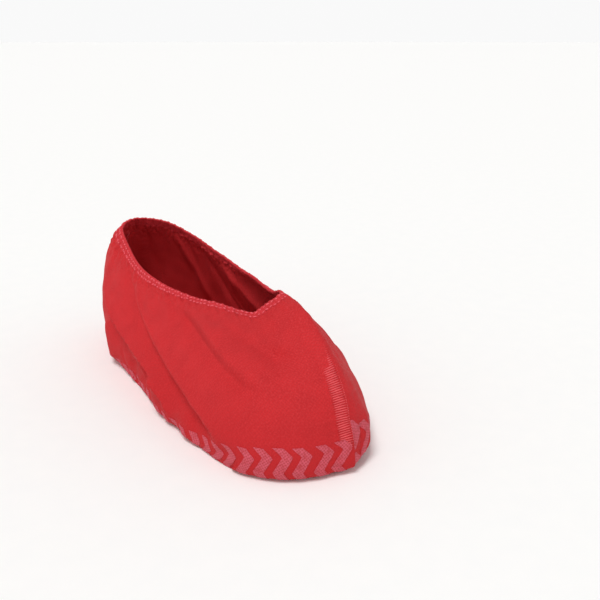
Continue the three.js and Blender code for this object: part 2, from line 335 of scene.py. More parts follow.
# Each fold follows a smooth line through its guide points (turn, rise), and a negative height makes a valley.
# Its two flanks have their own widths in millimetres, right and left of the line as seen from outside. Edge 1
# gives a sharp crest, 2 a round one.
foldColumns = ["line", "right", "left", "height", "edge"]
folds = {
    "heelCrease": [[(0.43, 0.6), (0.345, 0.38), (0.275, 0.27), (0.225, -0.06)], 3.4, 11, 5.6, 1.4],
    "heelDent": [[(0.42, 0.4), (0.345, 0.28), (0.25, 0.06)], 11, 4, -3, 2],
    "archValley": [[(0.365, 0.98), (0.29, 0.53), (0.21, 0.27), (0.15, 0.06)], 11, 4.2, -5.5, 1.7],
    "archRidge": [[(0.34, 0.98), (0.27, 0.585), (0.2, 0.33), (0.135, 0.12)], 4.2, 10, 4, 1.5],
    "vampValley": [[(0.222, 0.95), (0.172, 0.76), (0.13, 0.62), (0.08, 0.48)], 11, 4.5, -5.4, 1.7],
    "vampRidge": [[(0.185, 0.97), (0.148, 0.79), (0.11, 0.64), (0.065, 0.5)], 4.5, 13, 3.2, 1.6],
    "rimValley": [[(0.14, 0.93), (0.105, 0.855), (0.07, 0.77), (0.02, 0.63)], 6, 4, -1.5, 1.7],
    "rimRidge": [[(0.12, 0.95), (0.09, 0.875), (0.06, 0.79), (0.01, 0.65)], 4, 8, 1.1, 1.8],
    "toeValley": [[(0.078, 0.92), (0.054, 0.71), (0.03, 0.54)], 8, 7, -0.7, 2],
    "heelSwell": [[(0.39, 0.36), (0.372, -0.08)], 14, 14, 4.2, 2],
    "archSwell": [[(0.27, 0.26), (0.252, -0.12)], 17, 17, 4.4, 2],
    "archHollow": [[(0.325, 0.2), (0.315, -0.12)], 9, 9, -2.4, 2],
    "ballFill": [[(0.239, 0.14), (0.236, -0.12)], 8, 8, 2, 2],
    "frontHollow": [[(0.145, 0.16), (0.12, -0.4)], 12, 12, -2.8, 2],
    "ballSwell": [[(0.215, 0.22), (0.2, -0.12)], 16, 16, 3.3, 2],
    "heelInnerValley": [[(0.57, 0.9), (0.6, 0.58), (0.63, 0.2)], 5, 9, -3, 1.6],
    "quarterInnerRidge": [[(0.62, 0.9), (0.66, 0.55), (0.7, 0.15)], 11, 4.5, 2.6, 1.7],
    "waistInnerValley": [[(0.68, 0.9), (0.74, 0.47), (0.8, 0.12)], 4.5, 10, -3.2, 1.6],
    "vampInnerRidge": [[(0.77, 0.88), (0.82, 0.56), (0.87, 0.3)], 11, 5, 2.4, 1.7],
    "ballInnerValley": [[(0.84, 0.9), (0.88, 0.63), (0.92, 0.4)], 5, 9, -2.6, 1.7],
    "toeInnerValley": [[(0.94, 0.92), (0.975, 0.5)], 7, 5, -1.6, 1.8],
    # finer creases, too small for the frame
    "heelCreaseEdge": [[(0.425, 0.59), (0.345, 0.385), (0.275, 0.275), (0.225, -0.055)], 1.3, 1.3, 0.7, 1.6],
    "heelCreaseTwin": [[(0.372, 0.4), (0.335, 0.27), (0.29, 0.13)], 1.4, 3, 1.2, 1.2],
    "heelCreaseTail": [[(0.33, 0.3), (0.3, 0.16), (0.285, 0)], 1.4, 2.5, 0.9, 1.3],
    "packCreaseLong": [[(0.104, 0.63), (0.0755, 0.585), (0.045, 0.46)], 1.3, 1.8, 0.75, 1.2],
    "packCreaseNext": [[(0.08, 0.69), (0.062, 0.6), (0.042, 0.5)], 1.3, 1.6, 0.5, 1.2],
    "packCreaseUpright": [[(0.102, 0.64), (0.104, 0.36)], 1.4, 1.4, 0.65, 1.2],
    "packCreaseLow": [[(0.103, 0.38), (0.07, 0.31)], 1.5, 1.5, 0.5, 1.3],
    "archCrease": [[(0.3, 0.8), (0.275, 0.66), (0.245, 0.54)], 2, 4, -0.9, 1.4],
    "soleBallCrease": [[(0.2, 0.2), (0.18, -0.1)], 3, 3, -1.1, 1.5],
    "soleWaistCrease": [[(0.3, 0.22), (0.262, -0.1)], 3, 3, -1.2, 1.5],
    "soleQuarterCrease": [[(0.352, 0.2), (0.33, -0.1)], 3, 3, -1.2, 1.5],
    "toeInnerCrease": [[(0.982, 0.26), (0.99, -0.02)], 2, 2, -1.2, 1.4],
    "toeInnerBuckle": [[(0.965, 0.3), (0.97, -0.05)], 3, 3, 1.0, 1.6],
    "ballInnerCrease": [[(0.86, 0.6), (0.83, 0.37), (0.8, 0.1)], 3, 3, -1.0, 1.5],
    "quarterInnerCrease": [[(0.66, 0.6), (0.72, 0.08)], 3, 3, -1.0, 1.5],
    "heelRidge": [[(0.52, 0.85), (0.545, 0.25)], 6, 6, 1.6, 1.8],
    "heelValley": [[(0.478, 0.85), (0.455, 0.2)], 6, 6, -1.4, 1.8],
}
foldFade = {"ends": 0.22, "top": 0.12, "sole": 0.1, "reach": 3.2, "steps": 25}

# Gathers under the elastic, which die out down the cloth, the cloth's own unevenness, and puckers and a crest
# along each seam.
gather = {
    # spacing round the rim, height, depth where they are strongest, reach up and down from there, seed
    "fine": (3.7, 0.2, 0, 9, 1), "medium": (8.6, 0.66, 11, 9, 2), "broad": (17, 0.7, 24, 14, 3),
    "drift": ((3, 1.4), (7, 1.0), (12, 0.6)), "driftPhase": 0.37,   # waves a turn that make them uneven
    "patches": (34, 13), "patchShare": 0.35,    # size and seed of patches where the broader ones are flatter
    # size, height, seed
    "sag": (42, 0.35, 11), "crumple": (17, 0.16, 12), "crinkle": (3.3, 0.9, 14),
    "crinkleReach": 15, "crinkleTop": (2, 11),   # depths between which it comes in below the hem
    "puckerSpacing": 5.2, "puckerHeight": 0.3, "puckerDrift": (2, 13), "puckerPlace": 11, "puckerReach": 6,
    "toeRidge": 2.4, "heelRidge": 1.1, "ridgeWidth": 11, "ridgeTop": 0.12,
}

sectionTable = np.array(list(form["sections"].values()), float)


def aroundFoot(name, turn):  # closed smooth curve through the rows of the section table
    column = sectionTable[:, form["columns"].index(name)]
    place = np.mod(turn, 1) * len(column)
    row = np.floor(place).astype(int)
    f = place - row
    a, b, c, d = (column[(row + step) % len(column)] for step in (-1, 0, 1, 2))
    return b + 0.5 * ((c - a) * f + (2 * a - 5 * b + 4 * c - d) * f ** 2 + (3 * b - a - 3 * c + d) * f ** 3)


def bezier(w, a, b, c, d):
    s = 1 - w
    return s ** 3 * a + 3 * w * s ** 2 * b + 3 * w ** 2 * s * c + w ** 3 * d


def plainSkin(turn, rise):
    turn, rise = np.broadcast_arrays(np.asarray(turn, float), np.asarray(rise, float))
    bend = np.interp(rise, *form["toeSeamBend"])
    turn = turn + bend * bell((np.mod(turn + 0.5, 1) - 0.5) / form["toeSeamReach"])
    s = {name: aroundFoot(name, turn) for name in form["columns"]}
    inX, inY = s["rimX"] - s["edgeX"], s["rimY"] - s["edgeY"]
    run = np.hypot(inX, inY)
    corner, lift = form["soleCorner"], form["soleLift"]
    tall = s["rimZ"] - np.interp(np.mod(turn, 1), *form["rimDip"]) - corner
    w = np.clip(rise, 0, 1)
    across = bezier(w, 0, -s["bulge"], s["shoulderIn"] * run, run)
    height = corner + bezier(w, 0, form["swellUp"] * tall, s["shoulderUp"] * tall, tall)
    angle = np.clip(rise / form["soleRise"], 0, 1) * np.pi / 2
    across = np.where(rise < 0, corner * (1 - np.cos(angle)), across)
    height = np.where(rise < 0, lift + (corner - lift) * (1 - np.sin(angle)), height)
    x, y = s["edgeX"] + inX / run * across, s["edgeY"] + inY / run * across
    spring = form["toeSpring"] * fade(x, *form["springX"]) * fade(y, *form["springY"])
    return np.stack([x, y, height + spring * np.clip(1 - height / form["springTop"], 0, 1)], -1)


def skinNormal(turn, rise):
    step = 1e-3
    low, high = np.maximum(rise - step, form["soleRise"]), np.minimum(rise + step, 1)
    along = plainSkin(turn + step, rise) - plainSkin(turn - step, rise)
    return unit(np.cross(plainSkin(turn, high) - plainSkin(turn, low), along))


def foldLine(guide):
    knots = np.linspace(0, 1, len(guide))
    steps = np.linspace(0, 1, foldFade["steps"])
    turn, rise = (np.polyval(np.polyfit(knots, column, len(knots) - 1), steps) for column in guide.T)
    rise = np.clip(rise, form["soleRise"], 1)
    return plainSkin(turn, rise), skinNormal(turn, rise)


def foldLift(points):
    flat = points.reshape(-1, 3)
    lift = np.zeros(len(flat))
    for values in folds.values():
        fold = dict(zip(foldColumns, values))
        line, out = foldLine(np.array(fold["line"]))
        reach = max(fold["right"], fold["left"]) * foldFade["reach"]
        near = np.all((flat > line.min(0) - reach) & (flat < line.max(0) + reach), axis=1)
        p = flat[near]
        nearest, place, left = np.full(len(p), np.inf), np.zeros(len(p)), np.zeros(len(p))
        for k, (start, step) in enumerate(zip(line[:-1], np.diff(line, axis=0))):
            share = np.clip((p - start) @ step / max(step @ step, 1e-9), 0, 1)
            gap = np.linalg.norm(p - start - share[:, None] * step, axis=1)
            closer = gap < nearest
            nearest = np.where(closer, gap, nearest)
            place = np.where(closer, (k + share) / (len(line) - 1), place)
            left = np.where(closer, (p - start) @ np.cross(out[k], step), left)
        ends = smooth(np.minimum(place, 1 - place) / foldFade["ends"])
        width = np.where(left > 0, fold["left"], fold["right"])
        lift[near] += fold["height"] * ends * np.exp(-(nearest / width) ** fold["edge"])
    return lift.reshape(points.shape[:-1])


rimTurns = np.linspace(0, 1, 1601)
rimCurve = plainSkin(rimTurns, 1.0)
rimAlong = lengthAlong(rimCurve)
topStep = 0.1
topSpeed = np.linalg.norm(rimCurve - plainSkin(rimTurns, 1 - topStep), axis=1) / topStep


def atRim(turn, values):  # from one value for each of rimTurns
    return np.interp(np.mod(turn, 1), rimTurns, values)


def riseAtDepth(turn, depth):  # depth in millimetres below the rim
    return 1 - depth / atRim(turn, topSpeed)


def ripple(turn, spacing, seed):  # a wave round the rim whose spacing drifts, closed on itself
    share = atRim(turn, rimAlong) / rimAlong[-1]
    phase = seed * gather["driftPhase"]
    drift = sum(size * np.sin(2 * np.pi * k * (share + phase)) for k, size in gather["drift"])
    return np.sin(2 * np.pi * round(rimAlong[-1] / spacing) * share + drift + seed)


def wander(points, size, seed, waves=9, spread=(0.7, 1.5)):  # smooth seeded unevenness of about 1 each way
    draw = np.random.default_rng(seed)
    total = np.zeros(points.shape[:-1])
    for _ in range(waves):
        direction = unit(draw.normal(size=3))
        wave = size * draw.uniform(*spread)
        total += np.sin(points @ direction * 2 * np.pi / wave + draw.uniform(0, 2 * np.pi))
    return total / math.sqrt(waves)


def unevenness(name, point):
    size, height, seed = gather[name]
    return height * wander(point, size, seed)


def gatherLift(turn, rise, point):
    depth = (1 - rise) * atRim(turn, topSpeed)
    patchy = 1 - gather["patchShare"] + gather["patchShare"] * wander(point, *gather["patches"])
    lift = 0
    for name, share in (("fine", 1), ("medium", patchy), ("broad", patchy)):
        spacing, height, place, reach, seed = gather[name]
        lift = lift + height * ripple(turn, spacing, seed) * bell((depth - place) / reach) * share
    crinkle = unevenness("crinkle", point) * bell(depth / gather["crinkleReach"])
    return lift + crinkle * fade(depth, *gather["crinkleTop"])


def turnSpeed(turn, rise):  # millimetres round the skin for each whole turn
    step = 2e-3
    return np.linalg.norm(plainSkin(turn + step, rise) - plainSkin(turn - step, rise), axis=-1) / (2 * step)


def seamLift(turn, rise, z):  # puckers beside a seam, and the crest that the cloth stands up to along it
    fromSeam = np.abs(np.mod(turn + 0.25, 0.5) - 0.25) * turnSpeed(turn, rise)
    swing, spacing = gather["puckerDrift"]
    pucker = np.sin(z * 2 * np.pi / gather["puckerSpacing"] + swing * np.sin(z / spacing))
    pucker = pucker * bell((fromSeam - gather["puckerPlace"]) / gather["puckerReach"])
    crest = np.where(np.abs(np.mod(turn, 1) - 0.5) < 0.25, gather["heelRidge"], gather["toeRidge"])
    crest = crest * np.clip(1 - fromSeam / gather["ridgeWidth"], 0, 1)
    return gather["puckerHeight"] * pucker + crest * smooth((1 - rise) / gather["ridgeTop"])


def clothSkin(turn, rise):
    turn, rise = np.broadcast_arrays(np.asarray(turn, float), np.asarray(rise, float))
    point = plainSkin(turn, rise)
    lift = foldLift(point) * smooth((form["foldTop"] - rise) / foldFade["top"])
    lift += unevenness("sag", point) + unevenness("crumple", point)
    lift += gatherLift(turn, rise, point) + seamLift(turn, rise, point[..., 2])
    lift *= smooth((rise - form["soleRise"]) / foldFade["sole"])
    out = skinNormal(turn, rise)
    out = unit(np.where((rise < 0)[..., None], out * [1, 1, 0], out))
    return point + out * lift[..., None]


# How finely each half is measured, and how far up its wall.
sideGrid = {"turns": 801, "ups": 121, "topRise": 0.6, "topUp": 60}


class Side:  # one half of the cover, with lengths measured from its toe seam
    def __init__(self, name, toe, heel):
        self.name, self.toe, self.heel = name, toe, heel
        self.turns = np.linspace(toe, heel, sideGrid["turns"])
        self.along = lengthAlong(plainSkin(self.turns, 0.0))
        self.length = self.along[-1]
        self.facing = 1 if heel > toe else -1
        rises = np.linspace(form["soleRise"], sideGrid["topRise"], sideGrid["ups"])
        up = lengthAlong(plainSkin(self.turns[:, None], rises))
        self.ups = np.linspace(0, sideGrid["topUp"], sideGrid["ups"])
        self.riseTable = np.array([np.interp(self.ups, row, rises) for row in up])

    def turnAt(self, along):
        return np.interp(along, self.along, self.turns)

    def riseAt(self, along, up):
        table = self.riseTable
        row = np.interp(along, self.along, np.arange(len(table)))
        column = np.clip(up, 0, self.ups[-1]) / (self.ups[1] - self.ups[0])
        i, j = (np.minimum(part.astype(int), last - 2) for part, last in zip((row, column), table.shape))
        f, g = row - i, column - j
        return ((table[i, j] * (1 - f) + table[i + 1, j] * f) * (1 - g)
                + (table[i, j + 1] * (1 - f) + table[i + 1, j + 1] * f) * g)

    def soleMiddle(self, along):  # where a rib of the sole meets the middle line
        share = np.clip(along / self.length, 0, 1)
        share = (1 - form["soleEase"]) * share + form["soleEase"] * smooth(share)
        toe, heel = (np.array([*form[end], form["soleLift"]], float) for end in ("soleToe", "soleHeel"))
        return toe + (heel - toe) * share[..., None]

    def place(self, along, up):  # up the wall where positive, and to the sole's middle line at -1
        wall = clothSkin(self.turnAt(along), self.riseAt(along, up))
        edge = plainSkin(self.turnAt(along), form["soleRise"])
        share = np.clip(-up, 0, 1)[..., None]
        return np.where((up < 0)[..., None], edge + (self.soleMiddle(along) - edge) * share, wall)


outerSide = Side("outer", 0.0, 0.5)
innerSide = Side("inner", 1.0, 0.5)


def meshObject(name, points, faces, material, flat, sharp=55):  # flat: each point's place on the flat cloth
    mesh = bpy.data.meshes.new(name)
    mesh.from_pydata((points * mm).tolist(), [], faces.tolist())
    layer = mesh.uv_layers.new(name="cloth")
    corner = np.empty(len(mesh.loops), dtype=np.int32)
    mesh.loops.foreach_get("vertex_index", corner)
    layer.data.foreach_set("uv", (flat * mm).astype(np.float32)[corner].ravel())
    mesh.materials.append(material)
    mesh.polygons.foreach_set("use_smooth", [True] * len(mesh.polygons))
    mesh.set_sharp_from_angle(angle=math.radians(sharp))
    mesh.update()
    piece = bpy.data.objects.new(name, mesh)
    bpy.context.collection.objects.link(piece)
    return piece


def shellOf(outer, inner, start=0):  # faces and points of a closed wall between two equal grids of points
    ribs, rows = outer.shape[:2]
    half = ribs * rows
    index = start + np.arange(half).reshape(ribs, rows)
    quads = np.stack([index[:-1, :-1], index[1:, :-1], index[1:, 1:], index[:-1, 1:]], -1).reshape(-1, 4)
    edge = np.concatenate([index[:, 0], index[-1, 1:], index[-2::-1, -1], index[0, -2:0:-1]])
    after = np.roll(edge, -1)
    rim = np.stack([after, edge, edge + half, after + half], -1)
    faces = np.concatenate([quads, (quads + half)[:, ::-1], rim])
    return faces, np.concatenate([outer, inner]).reshape(-1, 3)


def gridNormals(grid):
    return unit(np.cross(np.gradient(grid, axis=0), np.gradient(grid, axis=1)))


panel = {
    "ribs": 460, "wallRows": 74, "cornerRows": 7, "soleRows": 10,
    "thickness": 0.8,     # the real cloth is about 0.3, too thin to hold its shape here
    "tuckedIn": 3.0,      # how far its top edge lies below the rim, inside the hem
    "halfGap": 0.02, "soleStop": 0.9997,    # these keep the two halves just apart
    "measures": 1001,     # places where the spacing of the ribs is worked out
    "rowsCrowd": 1.3,     # the rows are closer near the rim, where the gathers are
}


def panelTurns(side):  # ribs are spaced by the mean of their places along the rim and along the sole edge
    t = np.linspace(min(side.toe, side.heel), max(side.toe, side.heel), panel["measures"])
    rim = np.interp(t, rimTurns, rimAlong)
    edge = np.interp(t, side.turns[::side.facing], side.along[::side.facing])
    edge = edge if side.facing > 0 else side.length - edge
    share = (rim - rim[0]) / np.ptp(rim) + edge / side.length
    turns = np.interp(np.linspace(0, 2, panel["ribs"]), share, t)
    inset = panel["halfGap"] / turnSpeed(turns, 0.5)
    return np.clip(turns, t[0] + inset[0], t[-1] - inset[-1])


def panelCloth(name, side):
    turns = panelTurns(side)
    along = np.interp(turns, side.turns[::side.facing], side.along[::side.facing])
    rows = np.linspace(0, 1, panel["wallRows"]) ** panel["rowsCrowd"]
    wallRise = riseAtDepth(turns, panel["tuckedIn"])[:, None] * (1 - rows)
    cornerRise = np.linspace(0, form["soleRise"], panel["cornerRows"])[1:]
    rise = np.concatenate([wallRise, np.repeat(cornerRise[None], len(turns), 0)], 1)
    wall = clothSkin(turns[:, None], rise)
    share = np.linspace(0, 1, panel["soleRows"] + 1)[1:, None] * panel["soleStop"]
    foot = wall[:, -1:]
    sole = foot + (side.soleMiddle(along)[:, None] - foot) * share
    outer = np.concatenate([wall, sole], 1)
    normals = gridNormals(outer)
    under = normals[:, wall.shape[1]:]
    under[under[..., 2] > -0.5] = (0, 0, -1)    # where ribs meet in a point and have no normal of their own
    inner = outer - normals * panel["thickness"]

    up = -lengthAlong(outer)
    up -= up[:, [wall.shape[1] - 1]]
    flat = np.stack(np.broadcast_arrays(along[:, None], up), -1).reshape(-1, 2)
    faces, points = shellOf(outer, inner)
    piece = meshObject(name, points, faces, redCloth, np.concatenate([flat, flat]))
    print(f"{name}: {len(points)} points, {side.length:.0f} mm along the sole edge")
    return piece


outerCloth = panelCloth("outer_cloth", outerSide)
innerCloth = panelCloth("inner_cloth", innerSide)


hem = {
    "ribs": 960, "steps": 14, "roundSteps": 7, "depth": 9, "round": 0.9, "outward": 0.16, "inward": 1.7,
    "bead": 0.12, "beadDepth": 3, "beadReach": 2.2,     # the elastic shows as a low swelling
    "wave": 0.1, "crimp": 0.03, "crimps": (2.45, 5), "crimpTop": 2,    # crimps: spacing and seed
    "steady": 0.5,        # the direction outwards is taken no nearer than this to the rim
    "stitchRows": (3.1, 7.4), "stitchLift": 0.12,
    "stitch": {"Spacing": 3.7, "Length": 2.6, "Width": 1.2, "Height": 0.65,
               "Zigzag": 24, "Slant": 0, "Unevenness": 0.2, "Seed": 3},
}


def hemPoint(turn, depth, offset):
    point = clothSkin(turn, np.minimum(riseAtDepth(turn, depth), 1))
    crimp = hem["crimp"] * ripple(turn, *hem["crimps"]) * smooth(depth / hem["crimpTop"])
    out = skinNormal(turn, riseAtDepth(turn, np.maximum(depth, hem["steady"])))
    lifted = point + out * (offset + crimp)[..., None]
    spacing, *_, seed = gather["medium"]
    lifted[..., 2] += hem["wave"] * ripple(turn, spacing, seed)
    return lifted


def hemOutward(depth):
    return hem["outward"] + hem["bead"] * bell((depth - hem["beadDepth"]) / hem["beadReach"])


def gatheredHem():
    # One closed ring: up the inner face, over a rounded top round the elastic and down the outer face.
    turns = np.arange(hem["ribs"]) / hem["ribs"]
    angle = np.linspace(np.pi, 0, hem["roundSteps"])[1:-1]
    middle, half = (hem["outward"] - hem["inward"]) / 2, (hem["outward"] + hem["inward"]) / 2
    down = np.linspace(hem["round"], hem["depth"], hem["steps"])
    section = [(depth, -hem["inward"]) for depth in down[::-1]]
    section += [(hem["round"] * (1 - math.sin(a)), middle + half * math.cos(a)) for a in angle]
    section += [(depth, hemOutward(depth)) for depth in down]
    section = np.array(section)
    grid = hemPoint(*np.broadcast_arrays(turns[:, None], section[:, 0], section[:, 1]))
    here = np.arange(grid[..., 0].size).reshape(grid.shape[:2])
    there = np.roll(here, -1, 0)
    faces = np.stack([here, there, np.roll(there, -1, 1), np.roll(here, -1, 1)], -1).reshape(-1, 4)
    flat = np.stack(np.broadcast_arrays(atRim(turns, rimAlong)[:, None], lengthAlong(section)), -1)
    return meshObject("gathered_hem", grid.reshape(-1, 3), faces, hemCloth, flat.reshape(-1, 2))


hemPiece = gatheredHem()
print("hem ready")


def threadTree():
    # Threads of one size laid at even steps along a line, flat on the surface that the attribute "out" points
    # away from.
    tree = bpy.data.node_groups.new("threadsAlongLine", "GeometryNodeTree")
    floats = ("Spacing", "Length", "Width", "Height", "Zigzag", "Slant", "Unevenness")
    kinds = {"Line": "Geometry", **dict.fromkeys(floats, "Float"), "Seed": "Int", "Thread": "Material"}
    for name, kind in kinds.items():
        tree.interface.new_socket(name, in_out="INPUT", socket_type="NodeSocket" + kind)
    tree.interface.new_socket("Threads", in_out="OUTPUT", socket_type="NodeSocketGeometry")
    given = addNode(tree, "NodeGroupInput").outputs
    curve = addNode(tree, "GeometryNodeMeshToCurve", links={"Mesh": given["Line"]})
    even = addNode(tree, "GeometryNodeResampleCurve",
                   links={"Curve": curve.outputs["Curve"], "Length": given["Spacing"]}, mode="LENGTH")
    ball = addNode(tree, "GeometryNodeMeshUVSphere", {"Segments": 8, "Rings": 5, "Radius": 0.5})
    size = addNode(tree, "ShaderNodeCombineXYZ",
                   links={"X": given["Length"], "Y": given["Width"], "Z": given["Height"]})
    lean = addNode(tree, "ShaderNodeCombineXYZ", links={"Z": given["Slant"]})
    stitch = addNode(tree, "GeometryNodeTransform",
                     links={"Geometry": ball.outputs["Mesh"], "Rotation": lean.outputs["Vector"],
                            "Scale": size.outputs["Vector"]})
    out = addNode(tree, "GeometryNodeInputNamedAttribute", {"Name": "out"}, data_type="FLOAT_VECTOR")
    tangent = addNode(tree, "GeometryNodeInputTangent")
    lie = addNode(tree, "FunctionNodeAxesToRotation", primary_axis="Z", secondary_axis="X")
    tree.links.new(out.outputs["Attribute"], lie.inputs[0])
    tree.links.new(tangent.outputs["Tangent"], lie.inputs[1])
    least = addNode(tree, "ShaderNodeMath", {0: 1.0}, {1: given["Unevenness"]}, operation="SUBTRACT")
    most = addNode(tree, "ShaderNodeMath", {0: 1.0}, {1: given["Unevenness"]}, operation="ADD")
    vary = addNode(tree, "FunctionNodeRandomValue", links={"Seed": given["Seed"]}, data_type="FLOAT")
    tree.links.new(least.outputs["Value"], vary.inputs[2])
    tree.links.new(most.outputs["Value"], vary.inputs[3])
    laid = addNode(tree, "GeometryNodeInstanceOnPoints",
                   links={"Points": even.outputs["Curve"], "Instance": stitch.outputs["Geometry"],
                          "Rotation": lie.outputs["Rotation"], "Scale": vary.outputs[1]})
    # every second thread swings the other way
    index = addNode(tree, "GeometryNodeInputIndex")
    odd = addNode(tree, "ShaderNodeMath", {1: 2.0}, {0: index.outputs["Index"]}, operation="MODULO")
    sign = addNode(tree, "ShaderNodeMath", {1: 2.0, 2: -1.0}, {0: odd.outputs["Value"]},
                   operation="MULTIPLY_ADD")
    swing = addNode(tree, "ShaderNodeMath", links={0: sign.outputs["Value"], 1: given["Zigzag"]},
                    operation="MULTIPLY")
    spin = addNode(tree, "ShaderNodeCombineXYZ", links={"Z": swing.outputs["Value"]})
    turned = addNode(tree, "GeometryNodeRotateInstances",
                     links={"Instances": laid.outputs["Instances"], "Rotation": spin.outputs["Vector"]})
    real = addNode(tree, "GeometryNodeRealizeInstances", links={"Geometry": turned.outputs["Instances"]})
    softened = addNode(tree, "GeometryNodeSetShadeSmooth", links={0: real.outputs["Geometry"]})
    painted = addNode(tree, "GeometryNodeSetMaterial",
                      links={"Geometry": softened.outputs[0], "Material": given["Thread"]})
    addNode(tree, "NodeGroupOutput", links={"Threads": painted.outputs["Geometry"]})
    return tree


threads = threadTree()


def threadsOn(name, lines, outs, material, stitch):  # outs: the direction outwards at each point of the lines
    count = len(lines[0])
    edges = [(row * count + k, row * count + k + 1) for row in range(len(lines)) for k in range(count - 1)]
    mesh = bpy.data.meshes.new(name)
    mesh.from_pydata((np.concatenate(lines) * mm).tolist(), edges, [])
    outward = mesh.attributes.new("out", "FLOAT_VECTOR", "POINT")
    outward.data.foreach_set("vector", np.concatenate(outs).astype(np.float32).ravel())
    guide = bpy.data.objects.new(name + "_line", mesh)
    bpy.context.collection.objects.link(guide)
    modifier = guide.modifiers.new("threads", "NODES")
    modifier.node_group = threads
    values = {**stitch, "Thread": material}
    values.update({key: stitch[key] * mm for key in ("Spacing", "Length", "Width", "Height")})
    values.update({key: math.radians(stitch[key]) for key in ("Zigzag", "Slant")})
    for socket in threads.interface.items_tree:
        if socket.in_out == "INPUT" and socket.name in values:
            modifier[socket.identifier] = values[socket.name]
    bpy.context.view_layer.update()
    made = bpy.data.meshes.new_from_object(guide.evaluated_get(bpy.context.evaluated_depsgraph_get()))
    guide.modifiers.remove(modifier)
    bpy.data.objects.remove(guide)
    made.name = name
    piece = bpy.data.objects.new(name, made)
    bpy.context.collection.objects.link(piece)
    print(f"{name}: {len(made.polygons)} faces")
    return piece


def hemStitches():
    lines = [hemPoint(rimTurns, depth, hemOutward(depth) + hem["stitchLift"]) for depth in hem["stitchRows"]]
    outs = [skinNormal(rimTurns, riseAtDepth(rimTurns, depth)) for depth in hem["stitchRows"]]
    return threadsOn("hem_stitches", lines, outs, hemThread, hem["stitch"])


hemThreads = hemStitches()


# The overlocked seam allowances, folded flat on the outer half: a welt that is highest along the seam line.
seam = {
    # millimetres from the seam line towards the outer half, and height over the cloth
    "profile": [(-0.9, -0.1), (-0.85, 0.7), (-0.5, 1.05), (0.2, 1.1), (2, 0.95), (4, 0.8), (6, 0.64),
                (8.4, 0.45), (9.4, 0.2), (9.8, -0.1)],
    "crest": 3, "sunk": 0.4, "steps": 150, "lowest": (0.04, 0.07),   # least heights of the two faces
    "underHem": (0.93, 0.86), "hidden": 0.1,    # rises where it thins out under the hem, to lie this deep
    "threadsTop": (0.8, 0.4), "threadsFoot": (0.1, 0.2),    # rises where the threads begin and show in full
    "threadSteps": 160, "dive": (0.3, 2.4),   # how deep their ends sink in where they begin, near and far
    "ribEnds": (-0.1, 9), "ribBeyond": 0.6, "ribLift": 0.22, "ribClear": 0.1, "crossings": 5,
    "rib": {"Spacing": 1.5, "Length": 0.95, "Height": 0.5, "Zigzag": 0, "Slant": 5, "Unevenness": 0.04,
            "Seed": 5},
    "loopPlace": -0.3, "loopLift": 0.95,
    "loop": {"Spacing": 1.7, "Length": 1.5, "Width": 0.6, "Height": 0.4, "Zigzag": 0, "Slant": 14,
             "Unevenness": 0.1, "Seed": 6},
}
weltShape = np.array(seam["profile"])


def seamSurface(line, across, rise):  # across in millimetres towards the outer half
    facing = 1 if line == 0 else -1
    turn = line + facing * across / turnSpeed(np.full_like(rise, line), rise)
    return clothSkin(turn, rise), skinNormal(turn, rise)


def seamWelt(name, line):
    rise = np.linspace(seam["underHem"][0], form["soleRise"], seam["steps"])
    taper = fade(rise, *seam["underHem"])[:, None]
    top, bottom = [], []
    for across, height in weltShape:
        point, out = seamSurface(line, across, rise)
        top.append(point + out * (height * taper - seam["hidden"] * (1 - taper)))
        bottom.append(point - out * seam["sunk"])
    top, bottom = np.stack(top, 1), np.stack(bottom, 1)
    for face, least in zip((top, bottom), seam["lowest"]):
        face[..., 2] = np.maximum(face[..., 2], least)
    flat = np.stack(np.broadcast_arrays(lengthAlong(top[:, seam["crest"]])[:, None], weltShape[:, 0]), -1)
    if line == 0:
        top, bottom, flat = top[:, ::-1], bottom[:, ::-1], flat[:, ::-1]
    faces, points = shellOf(top, bottom)
    return meshObject(name, points, faces, redCloth, np.tile(flat.reshape(-1, 2), (2, 1)), sharp=40)


def seamThreads(name, line):  # straight ribs across the welt, and a row of loops round its near edge
    rise = np.linspace(seam["threadsTop"][0], seam["threadsFoot"][0], seam["threadSteps"])
    shown = (fade(rise, *seam["threadsTop"]) * fade(rise, *seam["threadsFoot"]))[:, None]
    nearDive, farDive = (dive * (1 - shown) for dive in seam["dive"])
    crossing = []
    for across in np.linspace(*seam["ribEnds"], seam["crossings"]):
        point, out = seamSurface(line, across, rise)
        crossing.append(point + out * np.interp(across, *weltShape.T))
    near = crossing[0] + out * (seam["ribLift"] - nearDive)
    far = crossing[-1] + out * (seam["ribLift"] - farDive)
    chord = unit(far - near)
    tilted = unit(out - chord * np.sum(out * chord, axis=1, keepdims=True))
    # a rib is straight, so the cloth's swell between its ends lifts it
    swell = [np.sum((point - near) * tilted, axis=1, keepdims=True) for point in crossing[1:-1]]
    lift = np.maximum(np.max(swell, axis=0) + seam["ribClear"], 0) * shown
    rib = {**seam["rib"], "Width": np.ptp(seam["ribEnds"]) + seam["ribBeyond"]}
    ribs = threadsOn(name + "_ribs", [(near + far) / 2 + tilted * lift], [tilted], seamThread, rib)
    point, out = seamSurface(line, seam["loopPlace"], rise)
    place = point + out * (seam["loopLift"] - nearDive)
    return ribs, threadsOn(name + "_loops", [place], [out], seamThread, seam["loop"])


toeWelt = [seamWelt("toe_welt", 0.0), *seamThreads("toe_welt", 0.0)]
heelWelt = [seamWelt("heel_welt", 0.5), *seamThreads("heel_welt", 0.5)]


